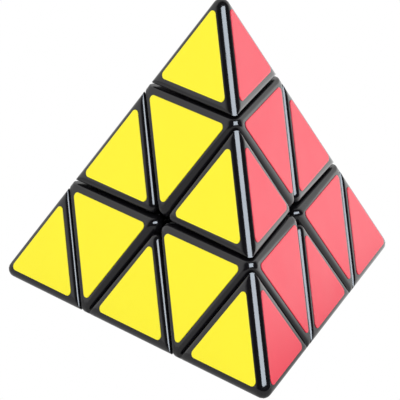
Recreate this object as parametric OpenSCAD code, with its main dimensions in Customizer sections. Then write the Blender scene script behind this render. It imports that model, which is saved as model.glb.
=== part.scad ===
// Pyramid twisty puzzle: four turning layers on a four-armed core.
// The origin is the centre of the core, +Z points at the top corner and the base lies flat below.
// Every sliding surface is a plane square to an axle, or a sphere about the core's centre, so each
// layer and each tip can turn about its own axle without moving away from the core.

/* [Pyramid] */
// Length of each edge between its sharp corners
edge_len = 104.5; // [87:0.5:160]
// Radius of the outer edges and corners
outer_round = 2.2; // [1.4:0.1:2.6]
// Radius of the edges along the seams
seam_round = 1; // [0.5:0.1:1.3]
// Radius of an axial's corners at the middles of faces, where six pieces meet
axial_nose_round = 2.2; // [0.5:0.1:2.2]
// Radius of an edge piece's corners at the middles of faces
edge_nose_round = 1.6; // [0.5:0.1:1.8]
// Width of the gap across a seam, and between all sliding surfaces
seam_gap = 0.5; // [0.3:0.05:0.7]

/* [Stickers] */
// Thickness of a sticker
sticker_t = 0.2; // [0.1:0.05:0.4]
// Plastic left bare between a sticker and the pyramid's edge
outer_margin = 3.1; // [2.5:0.1:5]
// Plastic left bare between a tip's or edge's sticker and its seam
seam_margin = 2.8; // [1.8:0.1:4]
// Plastic left bare all round an axial's sticker
axial_margin = 1.85; // [1.3:0.05:3]
// Radius of a sticker's corners
sticker_round = 1.1; // [0.5:0.1:2.5]

/* [Feet] */
// Thickness of plastic between a face and the feet behind it
cover_wall = 3.8; // [3:0.1:5]
// Thickness of the edge pieces' feet
foot_t = 4.5; // [3:0.1:5]
// Distance from the core's centre to the planes that part the feet
foot_cut = 2.7; // [2.4:0.1:3.2]

/* [Core] */
// Gap between the core's ball and the feet
ball_gap = 0.6; // [0.4:0.1:1.5]
// How far the seat that a hub turns on stands in from the hub's outside
seat_step = 0.6; // [0.2:0.1:1.2]
// Height of that seat above the ball
seat_h = 0.5; // [0.3:0.1:1.5]
// Wall of the post round its screw
post_wall = 1.3; // [0.9:0.1:1.5]
// Clearance all round a post or a tube that a piece turns on
turn_fit = 0.1; // [0.05:0.01:0.15]

/* [Hubs] */
// Depth of the shelf's top above the feet
shelf_rise = 1.2; // [0.8:0.1:3]
// Gap between a washer and the wall of its well
well_gap = 0.3; // [0.15:0.05:0.4]
// Wall of the tube round the well
tube_wall = 1.1; // [0.8:0.1:1.2]
// How far the snap lip stands out from the tube
lip_out = 0.5; // [0.3:0.1:0.7]
// Height of the snap lip
lip_h = 1.2; // [0.8:0.1:1.5]

/* [Tips] */
// Wall of a tip's shell
tip_wall = 1.2; // [0.9:0.1:1.3]
// Thickness of a tip's base plate
plate_t = 1.5; // [1.2:0.1:2]

/* [Fasteners] */
// Radius of the screws' shanks
shank_r = 1.5; // [1.2:0.1:1.8]
// Length of the screws below the head
screw_len = 18; // [14:0.5:19]
// Radius of the screws' heads
head_r = 2.8; // [2.3:0.1:3.3]
// Height of the screws' heads
head_h = 2; // [1.4:0.1:2.4]
// Radius of the washers
washer_r = 3.8; // [3.3:0.1:4.6]
// Thickness of the washers
washer_t = 0.6; // [0.4:0.1:1]
// Diameter of the springs' wire
wire_d = 0.6; // [0.4:0.05:0.65]
// How far a spring stands in from its washer's rim
spring_inset = 0.05; // [0:0.05:0.3]
// Length of the springs as fitted
spring_len = 5; // [4.4:0.1:6]
// Turns in a spring, with half a flat turn at each end
spring_turns = 4.5; // [3.5:0.5:4.5]

/* [Hidden] */
$fn = 96;
// Sides round the small balls that round the corners
hull_fn = 20;
far = 4 * edge_len;
half_gap = seam_gap / 2;
// Room round the screws' shanks in the posts
thread_fit = 0.05;
// How far a post stops below the shelf round it
post_drop = 0.6;

// Distances from the centre to the faces, to the layers' seams and to the tips' seams
face_d = edge_len / (2 * sqrt(6));
layer_d = face_d / 3;
tip_d = face_d * 5 / 3;
corner_d = face_d * 3;
// Height of one of the nine triangles that a face is divided into
cell_h = edge_len / (2 * sqrt(3));

foot_out = face_d - cover_wall;
foot_in = foot_out - foot_t;
ball_r = foot_in - ball_gap;

// Radii round an axle
post_r = shank_r + post_wall;
well_r = washer_r + well_gap;
spring_r = washer_r - spring_inset;
tube_r = well_r + tube_wall;
seat_r = tube_r - seat_step;

// Heights along an axle, from the centre outwards
seat_top = ball_r + seat_h;
hub_bottom = seat_top + turn_fit;
shelf_top = foot_out + shelf_rise;
post_top = shelf_top - post_drop;
spring_bottom = shelf_top + turn_fit;
washer_bottom = spring_bottom + spring_len;
head_bottom = washer_bottom + washer_t;
screw_tip = head_bottom - screw_len;
plate_bottom = tip_d + half_gap;
lip_bottom = plate_bottom + plate_t + turn_fit;
tube_top = lip_bottom + lip_h;

// The four axles, from the centre to the top, left, right and back corners
CORNERS = ["top", "left", "right", "back"];
AXIS_TILT = acos(-1 / 3);
AXIS_TURN = [0, 210, 330, 90];
AXES = [for (i = [0:3]) let (tilt = i == 0 ? 0 : AXIS_TILT)
    [sin(tilt) * cos(AXIS_TURN[i]), sin(tilt) * sin(AXIS_TURN[i]), cos(tilt)]];
// The face opposite each corner, named by the colour of its stickers
FACES = ["green", "red", "blue", "yellow"];
FACE_COLOURS = ["#1FA455", "#F8606E", "#2468D8", "#FFF12E"];
PLASTIC = "#1B1A1D";
INNER_PLASTIC = "#2A292D";
STEEL = "#B9BCC0";

EDGES = [for (i = [0:2]) for (j = [i + 1:3]) [i, j]];
function others(used) = [for (j = [0:3]) if (len(search(j, used)) == 0) j];
function edge_name(e) = str(CORNERS[e[0]], "_", CORNERS[e[1]]);

// ---- Places: a point is given by its four distances along the axles, which always add up to 0 ----

function at(z) = 0.75 * (z * AXES);
function total(z) = z * [1, 1, 1, 1];
// The point with the given distances, but with distance k worked out from the other three
function balanced(z, k) = at([for (j = [0:3]) j == k ? z[k] - total(z) : z[j]]);
// Corners of a tetrahedron from the least distance along each axle
function tetra_corners(least) = [for (k = [0:3]) balanced(least, k)];

function tip_corners(c, inset, mouth) =
    tetra_corners([for (j = [0:3]) j == c ? mouth : inset - face_d]);

// An edge piece's corners. The two worked out along its own axles lie on the pyramid's edge, and the
// two worked out along the other axles lie at the middles of faces.
function edge_corners(e, inset, which) =
    let (least = [for (j = [0:3]) j == e[0] || j == e[1] ? layer_d + half_gap + inset : inset - face_d])
    [for (k = which) balanced(least, k)];

// An axial is an octahedron with one pair of points at each corner, because its gaps trim it.
// Three of its corners lie at the middles of faces, and three on the pyramid's edges.
function axial_inner_corners(c, inset) =
    let (low = layer_d + half_gap + inset, side = layer_d - half_gap - inset, face = inset - face_d)
    [for (f = others([c])) for (k = [c, f])
        balanced([for (j = [0:3]) j == c ? low : j == f ? face : side], k)];

function axial_outer_corners(c, inset) =
    let (high = tip_d - half_gap - inset, side = layer_d - half_gap - inset, face = inset - face_d)
    [for (w = others([c])) for (q = others([c, w]))
        balanced([for (j = [0:3]) j == c ? high : j == w ? side : face], q)];

// ---- Shared shapes ----

// Turns a shape made along +Z so that it lies along an axle
module along(c) rotate([0, c == 0 ? 0 : AXIS_TILT, AXIS_TURN[c]]) children();

// Everything further along an axle than d, and everything less far
module beyond(c, d) along(c) translate([-far, -far, d]) cube(2 * far);
module within(c, d) along(c) translate([-far, -far, d - 2 * far]) cube(2 * far);

module balls(points, r) for (p = points) translate(p) sphere(r, $fn = hull_fn);

module ball_hull(points, r) hull() balls(points, r);

module pyramid() ball_hull(tetra_corners([1, 1, 1, 1] * (outer_round - face_d)), outer_round);

// A piece's outer body: a hull round the balls at its corners, trimmed to the rounded pyramid.
// Every ball touches the planes that meet at its corner, so the hull's sides stay flat.
module outer_body() intersection() {
    hull() children();
    pyramid();
}

// ---- Pieces ----

// One arm of the core: a seat for the hub, then the post that it turns on
module arm() rotate_extrude() polygon([
    [0, ball_r / 2], [seat_r, ball_r / 2], [seat_r, seat_top],
    [post_r, seat_top], [post_r, post_top], [0, post_top]]);

module core() color(INNER_PLASTIC) difference() {
    union() {
        sphere(ball_r);
        for (c = [0:3]) along(c) arm();
    }
    for (c = [0:3]) along(c) translate([0, 0, screw_tip])
        cylinder(r = shank_r + thread_fit, h = post_top);
}

module screw() {
    recess_w = head_r / 3;
    recess_d = head_h * 0.6;
    difference() {
        union() {
            cylinder(r = shank_r, h = screw_len);
            translate([0, 0, screw_len]) cylinder(r = head_r, h = head_h);
        }
        for (turn = [0, 90]) rotate(turn)
            translate([-head_r * 0.65, -recess_w / 2, screw_len + head_h - recess_d])
            cube([head_r * 1.3, recess_w, head_h]);
    }
}

module screws() color(STEEL) for (c = [0:3]) along(c) translate([0, 0, screw_tip]) screw();

module washers() color(STEEL) for (c = [0:3]) along(c) translate([0, 0, washer_bottom])
    difference() {
        cylinder(r = washer_r, h = washer_t);
        translate([0, 0, -washer_t]) cylinder(r = shank_r + turn_fit, h = 3 * washer_t);
    }

// A coil spring: rings of the wire's section carried round a helix with flat ends
module spring() {
    sides = 8;
    steps = 12;
    wire = wire_d / 2;
    coil = spring_r - wire;
    count = spring_turns * steps;
    active = spring_turns - 1;
    function rise(turn) = wire + (spring_len - wire_d) * min(max((turn - 0.5) / active, 0), 1);
    rings = [for (i = [0:count]) for (s = [0:sides - 1])
        let (turn = i / steps, a = 360 * s / sides, r = coil + wire * cos(a))
        [r * cos(360 * turn), r * sin(360 * turn), rise(turn) + wire * sin(a)]];
    walls = [for (i = [0:count - 1]) for (s = [0:sides - 1])
        let (n = (s + 1) % sides, a = i * sides, b = a + sides)
        [a + s, a + n, b + n, b + s]];
    first_end = [for (s = [sides - 1:-1:0]) s];
    last_end = [for (s = [0:sides - 1]) count * sides + s];
    polyhedron(rings, concat(walls, [first_end, last_end]), convexity = 10);
}

module springs() color(STEEL) for (c = [0:3]) along(c) translate([0, 0, spring_bottom]) spring();

// The turning centre of a layer, with the hub that rides on the core's post inside it
// and the tube that carries the tip on top
module axial(c) color(PLASTIC) difference() {
    union() {
        difference() {
            outer_body() {
                balls(axial_inner_corners(c, axial_nose_round), axial_nose_round);
                balls(axial_outer_corners(c, seam_round), seam_round);
            }
            sphere(foot_out + seam_gap);
        }
        along(c) {
            translate([0, 0, hub_bottom]) cylinder(r = tube_r, h = lip_bottom - hub_bottom);
            translate([0, 0, lip_bottom]) lip();
        }
    }
    along(c) {
        cylinder(r = post_r + turn_fit, h = shelf_top + 1);
        translate([0, 0, shelf_top]) cylinder(r = well_r, h = corner_d);
    }
}

module lip() rotate_extrude() polygon([
    [0, 0], [tube_r + lip_out, 0], [tube_r + lip_out, lip_h / 3], [tube_r, lip_h], [0, lip_h]]);

// An edge piece: a rounded outer body, and a foot that hooks under both neighbouring axials
module edge(e) color(PLASTIC) {
    far_sides = others(e);
    difference() {
        outer_body() {
            balls(edge_corners(e, edge_nose_round, far_sides), edge_nose_round);
            balls(edge_corners(e, seam_round, e), seam_round);
        }
        sphere(foot_in);
        for (c = far_sides) intersection() {
            sphere(foot_out + seam_gap);
            beyond(c, foot_cut - half_gap);
        }
    }
    intersection() {
        difference() {
            sphere(foot_out);
            sphere(foot_in);
        }
        intersection_for (c = e) beyond(c, foot_cut + half_gap);
        intersection_for (c = far_sides) within(c, foot_cut - half_gap);
    }
}

// The room inside a tip, open at its mouth
module tip_room(c) {
    r = outer_round - tip_wall;
    ball_hull(tip_corners(c, outer_round, tip_d - 3 * r), r);
}

module tip_shell(c) color(PLASTIC) difference() {
    outer_body() balls(tip_corners(c, seam_round, tip_d + half_gap + seam_round), seam_round);
    tip_room(c);
}

// The plate glued into a tip's mouth, which turns on the axial's tube under its lip
module tip_base(c) color(INNER_PLASTIC) difference() {
    intersection() {
        tip_room(c);
        along(c) translate([0, 0, plate_bottom]) cylinder(r = edge_len, h = plate_t);
    }
    along(c) cylinder(r = tube_r + turn_fit, h = corner_d);
}

// ---- Stickers ----

// Places a shape on a face: +Z leaves the face, +X points from its middle at corner c
module on_face(f, c) {
    z = -AXES[f];
    x = (AXES[c] + AXES[f] / 3) / norm(AXES[c] + AXES[f] / 3);
    y = cross(z, x);
    multmatrix([[x[0], y[0], z[0], 0], [x[1], y[1], z[1], 0], [x[2], y[2], z[2], 0]])
        translate([0, 0, face_d]) children();
}

// A triangle inside one cell, which stands on the Y axis and points along +X
module sticker(base_margin, side_margin) {
    h = cell_h - base_margin - 2 * side_margin;
    linear_extrude(sticker_t) offset(r = sticker_round, $fn = hull_fn) offset(delta = -sticker_round)
        translate([base_margin, 0]) polygon([[0, -h / sqrt(3)], [h, 0], [0, h / sqrt(3)]]);
}

module tip_sticker(f, c) color(FACE_COLOURS[f])
    on_face(f, c) translate([cell_h, 0]) sticker(seam_margin, outer_margin);

module axial_sticker(f, c) color(FACE_COLOURS[f])
    on_face(f, c) translate([cell_h, 0]) rotate(180) sticker(axial_margin, axial_margin);

module edge_sticker(f, e) color(FACE_COLOURS[f])
    on_face(f, others([f, e[0], e[1]])[0]) translate([-cell_h, 0]) sticker(outer_margin, seam_margin);

// ---- Nodes ----

core();
screws();
springs();
washers();
for (c = [0:3]) {
    axial(c);
    tip_shell(c);
    tip_base(c);
}
for (e = EDGES)
    edge(e);
for (f = [0:3]) for (c = others([f])) {
    tip_sticker(f, c);
    axial_sticker(f, c);
}
for (f = [0:3]) for (e = EDGES) if (e[0] != f && e[1] != f)
    edge_sticker(f, e);
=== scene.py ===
# Pyramid twisty puzzle: fourteen black ABS mouldings with thirty-six vinyl stickers, turning on a
# four-armed core. The file follows the puzzle as it is put together, from the core outwards.
import math

import bmesh
import bpy
import numpy as np
from mathutils import Matrix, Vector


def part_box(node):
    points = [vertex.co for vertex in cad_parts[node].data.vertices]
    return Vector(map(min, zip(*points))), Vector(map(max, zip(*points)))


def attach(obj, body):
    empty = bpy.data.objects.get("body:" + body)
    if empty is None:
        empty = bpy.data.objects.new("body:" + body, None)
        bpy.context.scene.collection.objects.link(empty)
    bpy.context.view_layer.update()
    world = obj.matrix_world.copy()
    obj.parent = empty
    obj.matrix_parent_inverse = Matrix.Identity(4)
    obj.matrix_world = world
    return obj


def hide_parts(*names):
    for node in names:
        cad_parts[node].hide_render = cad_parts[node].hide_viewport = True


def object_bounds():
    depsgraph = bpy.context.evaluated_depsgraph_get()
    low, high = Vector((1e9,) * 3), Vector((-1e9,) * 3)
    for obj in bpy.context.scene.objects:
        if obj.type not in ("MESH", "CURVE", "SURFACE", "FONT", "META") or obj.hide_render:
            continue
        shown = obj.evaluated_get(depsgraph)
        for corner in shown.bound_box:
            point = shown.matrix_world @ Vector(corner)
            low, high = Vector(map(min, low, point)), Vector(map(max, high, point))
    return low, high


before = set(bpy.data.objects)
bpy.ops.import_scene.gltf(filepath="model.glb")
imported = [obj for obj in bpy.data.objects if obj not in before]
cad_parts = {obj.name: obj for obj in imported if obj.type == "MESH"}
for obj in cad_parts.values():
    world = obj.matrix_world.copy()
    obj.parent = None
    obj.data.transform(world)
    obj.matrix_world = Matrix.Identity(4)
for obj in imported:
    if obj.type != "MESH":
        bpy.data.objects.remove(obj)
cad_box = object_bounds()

MM = 0.001

# ---- Camera ----
# A long lens looks down at the edge between the yellow and red faces from the right of the front.
CAMERA_AZIMUTH = math.radians(48.79)
CAMERA_ELEVATION = math.radians(22.68)
CAMERA_ROLL = math.radians(0.435)
CAMERA_DISTANCE = 0.881
CAMERA_LENS = 320.7
# How far the core sits right of the picture's middle and below it, as shares of the picture's width
CORE_RIGHT = 0.0489
CORE_BELOW = 0.0675


def pose(across, upwards, backwards, place):
    """The matrix of a camera or lamp at a place, from the three directions that it holds."""
    return Matrix([[across[i], upwards[i], backwards[i], place[i]] for i in range(3)] + [[0, 0, 0, 1]])


backwards = np.array([
    math.sin(CAMERA_AZIMUTH) * math.cos(CAMERA_ELEVATION),
    -math.cos(CAMERA_AZIMUTH) * math.cos(CAMERA_ELEVATION),
    math.sin(CAMERA_ELEVATION)])
level = np.array([math.cos(CAMERA_AZIMUTH), math.sin(CAMERA_AZIMUTH), 0])
upright = np.cross(backwards, level)
rolled_across = level * math.cos(CAMERA_ROLL) + upright * math.sin(CAMERA_ROLL)
rolled_up = upright * math.cos(CAMERA_ROLL) - level * math.sin(CAMERA_ROLL)
camera_data = bpy.data.cameras.new("camera")
camera_data.lens = CAMERA_LENS
camera_data.sensor_width = 36
camera_data.clip_end = 20
camera = bpy.data.objects.new("camera", camera_data)
bpy.context.collection.objects.link(camera)
# The camera aims past the core, which then shows off the picture's middle by those shares
core_across = CORE_RIGHT * camera_data.sensor_width / CAMERA_LENS
core_up = -CORE_BELOW * camera_data.sensor_width / CAMERA_LENS
aimed_backwards = backwards + core_across * rolled_across + core_up * rolled_up
aimed_backwards /= np.linalg.norm(aimed_backwards)
aimed_across = rolled_across - core_across * backwards
aimed_across /= np.linalg.norm(aimed_across)
camera.matrix_world = pose(aimed_across, np.cross(aimed_backwards, aimed_across), aimed_backwards,
                           backwards * CAMERA_DISTANCE)
bpy.context.scene.camera = camera

# ---- Core ----
# A ball with four stepped arms, moulded in one piece of dark nylon. Its arms point at the corners.
# Each arm is a seat and a post for one hub, drilled for that hub's screw.

# The base's stickers lie below the base's plastic, so the top of one is a face's distance from the core
FACE = -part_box("sticker_green_tip_back")[1][2]
LAYER_SEAM = FACE / 3
TIP_SEAM = FACE * 5 / 3
TILT = math.acos(-1 / 3)
CORNERS = ["top", "left", "right", "back"]
CORNER_TURNS = np.radians([0, 210, 330, 90])
AXLES = np.array([[0, 0, 1]] + [
    [math.sin(TILT) * math.cos(t), math.sin(TILT) * math.sin(t), math.cos(TILT)]
    for t in CORNER_TURNS[1:]])
HALF_GAP = 0.25 * MM
TURN_FIT = 0.1 * MM
FOOT_OUT = FACE - 3.8 * MM
FOOT_IN = FOOT_OUT - 4.5 * MM
BALL = FOOT_IN - 0.6 * MM
SEAT_TOP = BALL + 0.5 * MM
SEAT_R = 4.6 * MM
POST_R = 2.8 * MM
POST_TOP = FOOT_OUT + 0.6 * MM
SEAT_CHAMFER = 0.2 * MM
POST_CHAMFER = 0.3 * MM
SCREW_HOLE_R = 1.55 * MM
SCREW_TIP = FOOT_OUT - 11.1 * MM


def surface(name, points, faces):
    """A mesh object from points and quads or triangles, with doubled points merged and no
    collapsed faces left."""
    keys = np.round(points / 1e-8).astype(np.int64)
    _, first, where = np.unique(keys, axis=0, return_index=True, return_inverse=True)
    where = where.reshape(-1)
    mesh = bpy.data.meshes.new(name)
    kept = []
    for face in where[faces].tolist():
        ring = [v for v, before in zip(face, face[-1:] + face[:-1]) if v != before]
        if len(set(ring)) > 2:
            kept.append(ring)
    mesh.from_pydata(points[first].tolist(), [], kept)
    piece = bpy.data.objects.new(name, mesh)
    bpy.context.collection.objects.link(piece)
    return piece


def quads(rows, columns):
    """The quads between neighbouring points of a grid that is stored row by row."""
    first = np.arange(rows - 1)[:, None] * columns + np.arange(columns - 1)[None, :]
    return np.stack([first, first + 1, first + columns + 1, first + columns], -1).reshape(-1, 4)


def joined(patches):
    """Several (points, faces) patches as one, with each patch's faces counted on from the last."""
    starts = np.cumsum([0] + [len(points) for points, _ in patches[:-1]])
    return (np.concatenate([points for points, _ in patches]),
            np.concatenate([faces + start for (_, faces), start in zip(patches, starts)]))


def axle_frame(c):
    """Three unit vectors, of which the third points along corner c's axle."""
    side = np.cross(AXLES[c], AXLES[(c + 1) % 4])
    side /= np.linalg.norm(side)
    return np.stack([side, np.cross(AXLES[c], side), AXLES[c]])


def turned(name, c, profile, sides=96):
    """A closed profile of (radius, height) points carried all the way round corner c's axle."""
    profile = np.array(profile + profile[:1])
    angle = np.linspace(0, 2 * math.pi, sides + 1)[:, None]
    angle[-1] = 0
    radius = profile[None, :, 0]
    grid = np.stack([radius * np.cos(angle), radius * np.sin(angle),
                     np.broadcast_to(profile[None, :, 1], (sides + 1, len(profile)))], -1)
    points = grid.reshape(-1, 3) @ axle_frame(c)
    return surface(name, points, quads(sides + 1, len(profile)))


def globe(name, radius, around=144):
    """A sphere about the core's centre: longitude by latitude, closed to a point at each pole."""
    longitude = np.linspace(0, 2 * math.pi, around + 1)[:, None]
    longitude[-1] = 0
    latitude = np.linspace(-math.pi / 2, math.pi / 2, around // 2 + 1)[None, :]
    ring = np.cos(latitude)
    ring[0, [0, -1]] = 0
    grid = np.stack([ring * np.cos(longitude), ring * np.sin(longitude),
                     np.broadcast_to(np.sin(latitude), (around + 1, around // 2 + 1))], -1)
    return surface(name, radius * grid.reshape(-1, 3), quads(around + 1, around // 2 + 1))


def facing_out(piece):
    """Recalculates normals so that every face of a closed shell points outwards."""
    shell = bmesh.new()
    shell.from_mesh(piece.data)
    bmesh.ops.recalc_face_normals(shell, faces=shell.faces)
    shell.to_mesh(piece.data)
    shell.free()
    return piece


def combine(piece, operation, tool):
    """Cuts one closed shell from another, or joins the two into one."""
    facing_out(piece)
    facing_out(tool)
    modifier = piece.modifiers.new(operation.lower(), "BOOLEAN")
    modifier.operation = operation
    modifier.solver = "EXACT"
    modifier.object = tool
    bpy.context.view_layer.update()
    result = bpy.data.meshes.new_from_object(
        piece.evaluated_get(bpy.context.evaluated_depsgraph_get()))
    piece.modifiers.clear()
    piece.data = result
    bpy.data.objects.remove(tool)
    return piece


def finished(piece, body, material, cad_node):
    """Shades a shell smooth but for its sharp edges, and puts it on its body in its node's place."""
    facing_out(piece)
    mesh = piece.data
    mesh.name = piece.name
    mesh.polygons.foreach_set("use_smooth", np.ones(len(mesh.polygons), bool))
    mesh.set_sharp_from_angle(angle=math.radians(35))
    mesh.materials.clear()
    mesh.materials.append(material)
    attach(piece, body)
    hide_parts(cad_node)


def linear(code):
    """An sRGB hex colour as linear red, green, blue and alpha."""
    share = [int(code[i:i + 2], 16) / 255 for i in (1, 3, 5)]
    return [c / 12.92 if c <= 0.04045 else ((c + 0.055) / 1.055) ** 2.4 for c in share] + [1]


def new_material(name):
    """A material with only its output and shader, and its node tree."""
    material = bpy.data.materials.new(name)
    material.use_nodes = True
    return material, material.node_tree, material.node_tree.nodes["Principled BSDF"]


def node(tree, kind, settings=(), inputs=()):
    """Adds a node, sets its properties, and sets or links its inputs."""
    added = tree.nodes.new(kind)
    for name, value in dict(settings).items():
        setattr(added, name, value)
    for name, value in dict(inputs).items():
        if isinstance(value, bpy.types.NodeSocket):
            tree.links.new(value, added.inputs[name])
        else:
            added.inputs[name].default_value = value
    return added


# Moulded nylon: satin black with a faint cloudiness from the mould, which breaks up its reflections
nylon, tree, shader = new_material("moulded_nylon")
shader.inputs["Base Color"].default_value = linear("#19181B")
shader.inputs["IOR"].default_value = 1.53
place = node(tree, "ShaderNodeTexCoord").outputs["Object"]
clouds = node(tree, "ShaderNodeTexNoise", inputs={"Vector": place, "Scale": 400.0, "Detail": 3.0})
dull = node(tree, "ShaderNodeMapRange", inputs={
    "Value": clouds.outputs["Fac"], "To Min": 0.26, "To Max": 0.4})
tree.links.new(dull.outputs["Result"], shader.inputs["Roughness"])
grain = node(tree, "ShaderNodeTexNoise", inputs={"Vector": place, "Scale": 2500.0, "Detail": 2.0})
relief = node(tree, "ShaderNodeBump", inputs={
    "Height": grain.outputs["Fac"], "Strength": 0.08, "Distance": 0.1 * MM})
tree.links.new(relief.outputs["Normal"], shader.inputs["Normal"])

core = globe("core_moulding", BALL)
for c in range(4):
    arm = turned("arm", c, [
        (0, BALL / 2), (SEAT_R, BALL / 2),
        (SEAT_R, SEAT_TOP - SEAT_CHAMFER), (SEAT_R - SEAT_CHAMFER, SEAT_TOP),
        (POST_R, SEAT_TOP), (POST_R, POST_TOP - POST_CHAMFER), (POST_R - POST_CHAMFER, POST_TOP),
        (0, POST_TOP)])
    combine(core, "UNION", arm)
    drill = turned("drill", c, [
        (0, SCREW_TIP), (SCREW_HOLE_R, SCREW_TIP), (SCREW_HOLE_R, POST_TOP + MM), (0, POST_TOP + MM)], 48)
    combine(core, "DIFFERENCE", drill)
finished(core, "core", nylon, "core")

# ---- Screws, springs and washers ----
# Four sprung screws hold the hubs on the arms. They are zinc-plated steel, shaped as in the frame.
# Bright zinc: a light bluish grey with brushed-looking streaks from rolling and forming.
zinc, tree, shader = new_material("bright_zinc_plate")
shader.inputs["Base Color"].default_value = linear("#C3C7CC")
shader.inputs["Metallic"].default_value = 1.0
place = node(tree, "ShaderNodeTexCoord").outputs["Object"]
streaks = node(tree, "ShaderNodeTexNoise", inputs={"Vector": place, "Scale": 900.0, "Detail": 4.0})
dull = node(tree, "ShaderNodeMapRange", inputs={
    "Value": streaks.outputs["Fac"], "To Min": 0.22, "To Max": 0.42})
tree.links.new(dull.outputs["Result"], shader.inputs["Roughness"])
for name in ["screws", "springs", "washers"]:
    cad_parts[name].data.materials[0] = zinc

# ---- Axials ----
# The turning centre of each layer: an octahedron with the core's room hollowed out of its inner side,
# on a tube that turns on the core's post and carries the tip. Moulded in black ABS.
SEAM_ROUND = 1.0 * MM
AXIAL_NOSE_ROUND = 2.2 * MM
OUTER_ROUND = 2.2 * MM
WELL_R = 4.1 * MM
TUBE_R = WELL_R + 1.1 * MM
SHELF = FOOT_OUT + 1.2 * MM
PLATE_TOP = TIP_SEAM + HALF_GAP + 1.5 * MM
LIP = PLATE_TOP + TURN_FIT
LIP_OUT = 0.5 * MM
LIP_EDGE = 0.4 * MM
LIP_HEIGHT = 1.2 * MM
TUBE_OVERLAP = 0.4 * MM
HOLLOW = FOOT_OUT + 2 * HALF_GAP

# Moulded ABS: deep glossy black. The tool's polish leaves a very fine grain and the hands that turn
# it leave smudges, so its gloss varies softly.
abs_black, tree, shader = new_material("moulded_ABS")
shader.inputs["Base Color"].default_value = linear("#141316")
shader.inputs["IOR"].default_value = 1.54
place = node(tree, "ShaderNodeTexCoord").outputs["Object"]
smudges = node(tree, "ShaderNodeTexNoise", inputs={
    "Vector": place, "Scale": 120.0, "Detail": 4.0, "Roughness": 0.6})
dull = node(tree, "ShaderNodeMapRange", inputs={
    "Value": smudges.outputs["Fac"], "From Min": 0.3, "From Max": 0.7, "To Min": 0.08, "To Max": 0.17})
tree.links.new(dull.outputs["Result"], shader.inputs["Roughness"])
grain = node(tree, "ShaderNodeTexNoise", inputs={"Vector": place, "Scale": 1800.0, "Detail": 2.0})
relief = node(tree, "ShaderNodeBump", inputs={
    "Height": grain.outputs["Fac"], "Strength": 0.05, "Distance": 0.1 * MM})
tree.links.new(relief.outputs["Normal"], shader.inputs["Normal"])


def nearest_within(points, normals, limits, rounds=80):
    """The nearest points of a convex cell, found by stepping onto each of its planes in turn and
    carrying over what each step took away."""
    found = points.copy()
    taken = np.zeros((len(normals),) + points.shape)
    for _ in range(rounds):
        for k, (normal, limit) in enumerate(zip(normals, limits)):
            before = found + taken[k]
            over = np.maximum(before @ normal - limit, 0)
            found = before - over[:, None] * normal
            taken[k] = before - found
    return found


def rounded(points, normals, limits, radius, pull=False):
    """Points moved onto a cell's rounded surface: each stands one radius away from its nearest point
    in the cell shrunk by that radius. With pull, only points outside the rounded cell move."""
    inner = nearest_within(points, normals, [limit - radius for limit in limits])
    away = points - inner
    distance = np.linalg.norm(away, axis=1)
    scale = radius / np.maximum(distance, 1e-9)
    if pull:
        scale = np.where(distance > radius, scale, 1)
    return inner + away * scale[:, None]


def place_at(distances):
    """The point at the given distances along the four axles, which add up to nothing."""
    return 0.75 * np.asarray(distances) @ AXLES


def corner(distances, radius):
    """A cell's corner, with the radius of the rounding there as its fourth value."""
    return np.append(place_at(distances), radius)


def triangle_patches(a, b, c, steps=14):
    """A triangle as three square grids that meet at its middle, each a blend of a corner, two half
    sides and the middle. The grid lines crowd towards the triangle's sides, where its edges round."""
    u = np.linspace(0, 1, steps + 1)[:, None, None] ** 2
    v = np.linspace(0, 1, steps + 1)[None, :, None] ** 2
    middle = (a + b + c) / 3
    patches = []
    for p, q, r in ((a, b, c), (b, c, a), (c, a, b)):
        patch = ((1 - u) * (1 - v) * p + u * (1 - v) * (p + q) / 2
                 + u * v * middle + (1 - u) * v * (p + r) / 2)
        patches.append((patch.reshape(-1, len(a)), quads(steps + 1, steps + 1)))
    return joined(patches)


def moulding(name, triangles, normals, limits):
    """A piece's outer body: its cell's triangles, rounded along the seams and then along the
    pyramid's own edges."""
    points, faces = joined([triangle_patches(*corners) for corners in triangles])
    points = rounded(points[:, :3], normals, limits, points[:, 3])
    points = rounded(points, -AXLES, [FACE] * 4, OUTER_ROUND, pull=True)
    return surface(name, np.round(points, 7), faces)


def others(*used):
    """The corners, or the faces opposite them, that aren't among the used ones."""
    return [c for c in range(4) if c not in used]


def edge_corner(c, w):
    """Where the tip seam of corner c crosses the pyramid's edge towards corner w."""
    return corner([TIP_SEAM if j == c else LAYER_SEAM if j == w else -FACE for j in range(4)], SEAM_ROUND)


def middle_corner(f, radius):
    """The middle of a face, where six pieces meet and their corners are rounder."""
    return corner([-FACE if j == f else LAYER_SEAM for j in range(4)], radius)


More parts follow.
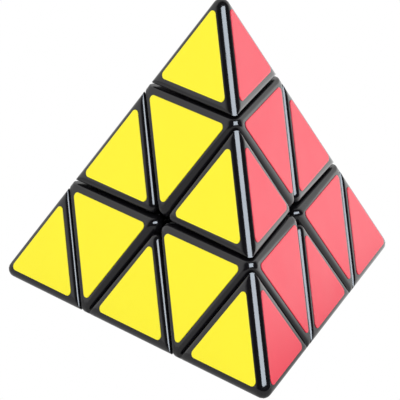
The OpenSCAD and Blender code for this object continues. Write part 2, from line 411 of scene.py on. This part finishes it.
for c in range(4):
    # The octahedron's six corners: three on the pyramid's edges and three at the middles of faces
    outer = {w: edge_corner(c, w) for w in others(c)}
    inner = {f: middle_corner(f, AXIAL_NOSE_ROUND) for f in others(c)}
    p, q, r = others(c)
    triangles = [(outer[p], outer[q], outer[r]), (inner[p], inner[q], inner[r])]
    for a, b, d in ((p, q, r), (q, r, p), (r, p, q)):
        triangles.append((outer[a], outer[b], inner[d]))
        triangles.append((inner[a], inner[b], outer[d]))
    normals = np.concatenate([AXLES[[c]], -AXLES[[c]], AXLES[others(c)], -AXLES[others(c)]])
    limits = [TIP_SEAM - HALF_GAP, -LAYER_SEAM - HALF_GAP] + [LAYER_SEAM - HALF_GAP] * 3 + [FACE] * 3
    axial = moulding(f"axial_moulding_{CORNERS[c]}", triangles, normals, limits)
    combine(axial, "DIFFERENCE", globe("hollow", HOLLOW))
    bore = TUBE_R - TUBE_OVERLAP
    combine(axial, "DIFFERENCE", turned("bore", c, [(0, MM), (bore, MM), (bore, LIP), (0, LIP)]))
    combine(axial, "UNION", turned("tube", c, [
        (POST_R + TURN_FIT, SEAT_TOP + TURN_FIT), (TUBE_R, SEAT_TOP + TURN_FIT), (TUBE_R, LIP),
        (TUBE_R + LIP_OUT, LIP), (TUBE_R + LIP_OUT, LIP + LIP_EDGE), (TUBE_R, LIP + LIP_HEIGHT),
        (WELL_R, LIP + LIP_HEIGHT), (WELL_R, SHELF), (POST_R + TURN_FIT, SHELF)]))
    finished(axial, f"layer_{CORNERS[c]}", abs_black, f"axial_{CORNERS[c]}")

# ---- Edge pieces ----
# A four-cornered body that shows on two faces. A curved foot on a short neck hooks under the axials on
# both sides and holds the piece in. Moulded in the same black ABS.
FOOT_CUT = 2.7 * MM
NECK_DEPTH_IN_FOOT = 0.5 * MM
NECK_DEPTH_IN_BODY = 0.4 * MM
EDGE_NOSE_ROUND = 1.6 * MM


def curved_block(name, v, w, low, high, inside, outside, steps=16):
    """A block between two spheres, cut square to four axles: further than low along v and w, and
    less far than high along the others. A point is given by its shares of the block's half width and
    half length at its own depth, and its radius; its depth solves the sphere's equation."""
    x, y = others(v, w)
    long_axis = (AXLES[v] - AXLES[w]) / np.linalg.norm(AXLES[v] - AXLES[w])
    wide_axis = (AXLES[x] - AXLES[y]) / np.linalg.norm(AXLES[x] - AXLES[y])
    out_axis = (AXLES[v] + AXLES[w]) / np.linalg.norm(AXLES[v] + AXLES[w])
    slant, rise = math.sqrt(2 / 3), math.sqrt(1 / 3)
    share = np.linspace(-1, 1, steps + 1)
    radii = np.linspace(inside, outside, 5)

    def spot(s, t, radius):
        # |X| = |s| (rise Z - low) / slant, |Y| = |t| (rise Z + high) / slant, X^2 + Y^2 + Z^2 = radius^2
        a = 1 + (s * s + t * t) * (rise / slant) ** 2
        b = 2 * rise / slant ** 2 * (t * t * high - s * s * low)
        d = (s * s * low ** 2 + t * t * high ** 2) / slant ** 2 - radius ** 2
        depth = (-b + np.sqrt(b * b - 4 * a * d)) / (2 * a)
        return (s * (rise * depth - low) / slant)[..., None] * long_axis \
            + (t * (rise * depth + high) / slant)[..., None] * wide_axis + depth[..., None] * out_axis

    walls = [np.meshgrid(share, share, [radius], indexing="ij") for radius in (inside, outside)]
    walls += [np.meshgrid([end], share, radii, indexing="ij") for end in (-1, 1)]
    walls += [np.meshgrid(share, [end], radii, indexing="ij") for end in (-1, 1)]
    points, faces = joined([
        (spot(*[share_grid.reshape(-1) for share_grid in wall]), quads(*[n for n in wall[0].shape if n > 1]))
        for wall in walls])
    return surface(name, np.round(points, 8), faces)


EDGES = [(v, w) for v in range(4) for w in range(v + 1, 4)]
for v, w in EDGES:
    x, y = others(v, w)
    corners = [edge_corner(v, w), edge_corner(w, v),
               middle_corner(x, EDGE_NOSE_ROUND), middle_corner(y, EDGE_NOSE_ROUND)]
    triangles = [tuple(corners[k] for k in range(4) if k != skip) for skip in range(4)]
    normals = np.concatenate([-AXLES[[v, w]], -AXLES[[x, y]]])
    limits = [-LAYER_SEAM - HALF_GAP] * 2 + [FACE] * 2
    name = f"{CORNERS[v]}_{CORNERS[w]}"
    edge = moulding(f"edge_moulding_{name}", triangles, normals, limits)
    combine(edge, "DIFFERENCE", globe("hollow", HOLLOW))
    neck = curved_block("neck", v, w, LAYER_SEAM + 1.3 * HALF_GAP, FOOT_CUT - 2 * HALF_GAP,
                        FOOT_OUT - NECK_DEPTH_IN_FOOT, HOLLOW + NECK_DEPTH_IN_BODY)
    foot = curved_block("foot", v, w, FOOT_CUT + HALF_GAP, FOOT_CUT - HALF_GAP, FOOT_IN, FOOT_OUT)
    combine(edge, "UNION", combine(foot, "UNION", neck))
    finished(edge, f"edge_{name}", abs_black, f"edge_{name}")

# ---- Tips ----
# Each is a hollow shell with a base plate glued in its mouth. The plate snaps over the axial's lip, so
# that the tip turns freely. The shell is black ABS, and the plate is the core's nylon, shaped as in the
# frame.
TIP_WALL = 1.2 * MM
ROOM_MOUTH = TIP_SEAM - 3 * MM


def tip_triangles(c, side, mouth, radius):
    """The four sides of the tetrahedron between three side planes and the mouth's plane."""
    least = np.array([mouth if j == c else -side for j in range(4)])
    corners = [corner([least[j] - least.sum() if j == k else least[j] for j in range(4)], radius)
               for k in range(4)]
    return [[corners[k] for k in range(4) if k != skip] for skip in range(4)]


for c in range(4):
    normals = -AXLES[[c] + others(c)]
    tip = moulding(f"tip_moulding_{CORNERS[c]}", tip_triangles(c, FACE, TIP_SEAM, SEAM_ROUND), normals,
                   [-TIP_SEAM - HALF_GAP] + [FACE] * 3)
    # The room inside follows the outside at a wall's distance, and runs out through the mouth
    points, faces = joined([
        triangle_patches(*triangle, steps=10)
        for triangle in tip_triangles(c, FACE - TIP_WALL, ROOM_MOUTH, OUTER_ROUND - TIP_WALL)])
    points = rounded(points[:, :3], normals, [-ROOM_MOUTH] + [FACE - TIP_WALL] * 3, points[:, 3])
    combine(tip, "DIFFERENCE", surface("room", np.round(points, 7), faces))
    finished(tip, f"tip_{CORNERS[c]}", abs_black, f"tip_shell_{CORNERS[c]}")
    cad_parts[f"tip_base_{CORNERS[c]}"].data.materials[0] = nylon

# ---- Stickers ----
# Die-cut vinyl, one triangle with rounded corners for each of the nine fields of a face. The film is
# a fifth of a millimetre thick and its cut edge is very slightly rolled over.
CELL = FACE * math.sqrt(2)
STICKER_T = 0.2 * MM
STICKER_ROUND = 1.1 * MM
ROLL = 0.08 * MM
OUTER_MARGIN = 3.1 * MM
SEAM_MARGIN = 2.8 * MM
AXIAL_MARGIN = 1.85 * MM
STICKER_COLOURS = {"green": "#13A04F", "red": "#F63A50", "blue": "#1F5FD6", "yellow": "#FFF20C"}
FACE_COLOURS = ["green", "red", "blue", "yellow"]


def vinyl(colour):
    """Satin vinyl film: strong even ink under a soft sheen, with a slight ripple where it is stuck."""
    material, tree, shader = new_material(f"vinyl_film_{colour}")
    shader.inputs["IOR"].default_value = 1.5
    place = node(tree, "ShaderNodeTexCoord").outputs["Object"]
    tint = node(tree, "ShaderNodeTexNoise", inputs={"Vector": place, "Scale": 90.0, "Detail": 3.0})
    base = np.array(linear(STICKER_COLOURS[colour]))
    ink = node(tree, "ShaderNodeMix", {"data_type": "RGBA"})
    tree.links.new(tint.outputs["Fac"], ink.inputs["Factor"])
    ink.inputs[6].default_value = [*(base[:3] * 0.96), 1]
    ink.inputs[7].default_value = base
    tree.links.new(ink.outputs[2], shader.inputs["Base Color"])
    dull = node(tree, "ShaderNodeMapRange", inputs={
        "Value": tint.outputs["Fac"], "To Min": 0.3, "To Max": 0.42})
    tree.links.new(dull.outputs["Result"], shader.inputs["Roughness"])
    ripple = node(tree, "ShaderNodeTexNoise", inputs={"Vector": place, "Scale": 260.0, "Detail": 2.0})
    relief = node(tree, "ShaderNodeBump", inputs={
        "Height": ripple.outputs["Fac"], "Strength": 0.05, "Distance": 0.2 * MM})
    tree.links.new(relief.outputs["Normal"], shader.inputs["Normal"])
    return material


vinyls = [vinyl(colour) for colour in FACE_COLOURS]


def sticker(name, face, toward, start, direction, base_margin, side_margin):
    """A sticker on a face. Its base lies a margin past start, on the line from the face's middle to its
    corner, and it points along that line, or back with a direction of -1. Its outline is a triangle's
    corners each swept by an arc. Its section is a profile of (inset, lift) points carried round that
    outline, from the middle of the underside round the cut edge to the middle of the top, where shrink
    closes it to a point."""
    height = CELL - base_margin - 2 * side_margin
    centre_x = start + direction * (base_margin + height / 3)
    corner_turn = np.radians(np.arange(3) * 120)
    corner_reach = height * 2 / 3 - 2 * STICKER_ROUND
    sweep = np.radians(np.linspace(-60, 60, 13))
    arc = (corner_turn[:, None] + sweep[None, :]).reshape(-1)
    arc = np.append(arc, arc[0])
    centre = np.repeat(corner_turn, len(sweep))
    centre = np.append(centre, centre[0])
    roll = np.radians(np.linspace(0, 90, 5))
    inset = np.concatenate([[0, 0], ROLL * (1 - np.cos(roll)), [STICKER_ROUND * 0.5] * 3])
    lift = np.concatenate([[0, 0], STICKER_T - ROLL + ROLL * np.sin(roll), [STICKER_T] * 3])
    shrink = np.concatenate([[0, 1], np.ones(len(roll)), [1, 0.5, 0]])
    radius = STICKER_ROUND - inset[:, None]
    x = shrink[:, None] * (corner_reach * np.cos(centre) + radius * np.cos(arc))
    y = shrink[:, None] * (corner_reach * np.sin(centre) + radius * np.sin(arc))
    out = -AXLES[face]
    along = AXLES[toward] + AXLES[face] / 3
    along /= np.linalg.norm(along)
    across = np.cross(out, along)
    points = ((centre_x + direction * x)[..., None] * along + (direction * y)[..., None] * across
              + (FACE + lift)[:, None, None] * out)
    return surface(name, np.round(points.reshape(-1, 3), 8), quads(len(inset), len(arc)))


# A tip's and an axial's fields both start at the tip seam, and an edge's at the pyramid's opposite edge
for f in range(4):
    colour = FACE_COLOURS[f]
    for c in others(f):
        v, w = others(f, c)
        edge_name = f"{CORNERS[v]}_{CORNERS[w]}"
        fields = [("tip", f"tip_{CORNERS[c]}", CORNERS[c], CELL, 1, SEAM_MARGIN, OUTER_MARGIN),
                  ("axial", f"layer_{CORNERS[c]}", CORNERS[c], CELL, -1, AXIAL_MARGIN, AXIAL_MARGIN),
                  ("edge", f"edge_{edge_name}", edge_name, -CELL, 1, OUTER_MARGIN, SEAM_MARGIN)]
        for kind, body, where, start, direction, base_margin, side_margin in fields:
            piece = sticker(f"vinyl_{colour}_{kind}_{where}", f, c, start, direction,
                            base_margin, side_margin)
            finished(piece, body, vinyls[f], f"sticker_{colour}_{kind}_{where}")

# ---- Floor and light ----
# The puzzle stands on a white table that glows evenly white to the camera and shows no shadow. In the
# gloss the table carries painted shade and painted light: its glow is painted darker in front and brighter
# behind, by its place from front to back. It is clear from below. The sky is an even white, and a wide lamp
# above on the right gives the gloss its long glints.
FLOOR_CLEARANCE = 0.02 * MM
FLOOR_HALF = 3.0
TABLE_PAINTED_SHADE_FRONT = 0.5
TABLE_PAINTED_LIGHT_BACK = 1.6
card, tree, shader = new_material("white_table")
rays = node(tree, "ShaderNodeLightPath").outputs
place = node(tree, "ShaderNodeTexCoord").outputs["Object"]
spot = node(tree, "ShaderNodeSeparateXYZ", inputs={"Vector": place})
# Painted shade and painted light: the glow that the gloss sees runs from dark in front to bright behind
mirrored = node(tree, "ShaderNodeMapRange", inputs={
    "Value": spot.outputs["Y"], "From Min": 0.0, "From Max": 0.1,
    "To Min": TABLE_PAINTED_SHADE_FRONT, "To Max": TABLE_PAINTED_LIGHT_BACK})
brightness = node(tree, "ShaderNodeMix", inputs={"Factor": rays["Is Camera Ray"]})
tree.links.new(mirrored.outputs["Result"], brightness.inputs["A"])
brightness.inputs["B"].default_value = 1.0
glow_with_painted_shade = node(tree, "ShaderNodeEmission", inputs={"Strength": brightness.outputs["Result"]})
glow_with_painted_shade.inputs["Color"].default_value = linear("#FFFFFF")
shader.inputs["Base Color"].default_value = linear("#F7F7F7")
shader.inputs["Roughness"].default_value = 0.9
seen = node(tree, "ShaderNodeMath", {"operation": "MAXIMUM"})
tree.links.new(rays["Is Camera Ray"], seen.inputs[0])
tree.links.new(rays["Is Glossy Ray"], seen.inputs[1])
blend = node(tree, "ShaderNodeMixShader", inputs={"Fac": seen.outputs["Value"]})
tree.links.new(shader.outputs["BSDF"], blend.inputs[1])
tree.links.new(glow_with_painted_shade.outputs["Emission"], blend.inputs[2])
below = node(tree, "ShaderNodeNewGeometry").outputs["Backfacing"]
clear = node(tree, "ShaderNodeMixShader", inputs={"Fac": below})
tree.links.new(blend.outputs["Shader"], clear.inputs[1])
tree.links.new(node(tree, "ShaderNodeBsdfTransparent").outputs["BSDF"], clear.inputs[2])
tree.links.new(clear.outputs["Shader"], tree.nodes["Material Output"].inputs["Surface"])
floor_level = cad_box[0][2] - FLOOR_CLEARANCE
floor = surface("floor", np.array([
    [x * FLOOR_HALF, y * FLOOR_HALF, floor_level] for x, y in ((-1, -1), (1, -1), (1, 1), (-1, 1))]),
    np.array([[0, 1, 2, 3]]))
floor.data.materials.append(card)

# White screens stand on the left and behind, and the room in front and on the right is dark: the gloss
# mirrors both, though the sky's light itself is even
SKY_LIGHT = 1.1
SCREENS_MIRRORED = 0.9
ROOM_MIRRORED = 0.0
SCREENS_TOWARD = [-0.93, 0.36, 0]
world = bpy.data.worlds.new("white_sky")
bpy.context.scene.world = world
world.use_nodes = True
tree = world.node_tree
tree.nodes["Background"].inputs["Color"].default_value = linear("#FFFFFF")
direction = node(tree, "ShaderNodeTexCoord").outputs["Generated"]
facing = node(tree, "ShaderNodeVectorMath", {"operation": "DOT_PRODUCT"})
tree.links.new(direction, facing.inputs[0])
facing.inputs[1].default_value = SCREENS_TOWARD
mirrored = node(tree, "ShaderNodeMapRange", inputs={
    "Value": facing.outputs["Value"], "From Min": 0.0, "From Max": 0.3,
    "To Min": ROOM_MIRRORED, "To Max": SCREENS_MIRRORED})
glossy = node(tree, "ShaderNodeLightPath").outputs["Is Glossy Ray"]
sky = node(tree, "ShaderNodeMix", inputs={"Factor": glossy})
sky.inputs["A"].default_value = SKY_LIGHT
tree.links.new(mirrored.outputs["Result"], sky.inputs["B"])
tree.links.new(sky.outputs["Result"], tree.nodes["Background"].inputs["Strength"])


# A flat lamp that faces the core with its width level. Only the gloss sees it.
LAMP_TOWARD = [0.666, -0.177, 0.724]
LAMP_DISTANCE = 0.9
lamp_data = bpy.data.lights.new("strip_lamp", "AREA")
lamp_data.shape = "RECTANGLE"
lamp_data.size = 0.92
lamp_data.size_y = 0.38
lamp_data.energy = 13.5
lamp_data.color = linear("#E9F3FF")[:3]
strip_lamp = bpy.data.objects.new("strip_lamp", lamp_data)
bpy.context.collection.objects.link(strip_lamp)
aim = np.array(LAMP_TOWARD) / np.linalg.norm(LAMP_TOWARD)
side = np.cross([0, 0, 1], aim)
side /= np.linalg.norm(side)
strip_lamp.matrix_world = pose(side, np.cross(aim, side), aim, aim * LAMP_DISTANCE)
strip_lamp.visible_diffuse = False
bpy.context.scene.view_settings.view_transform = "Standard"
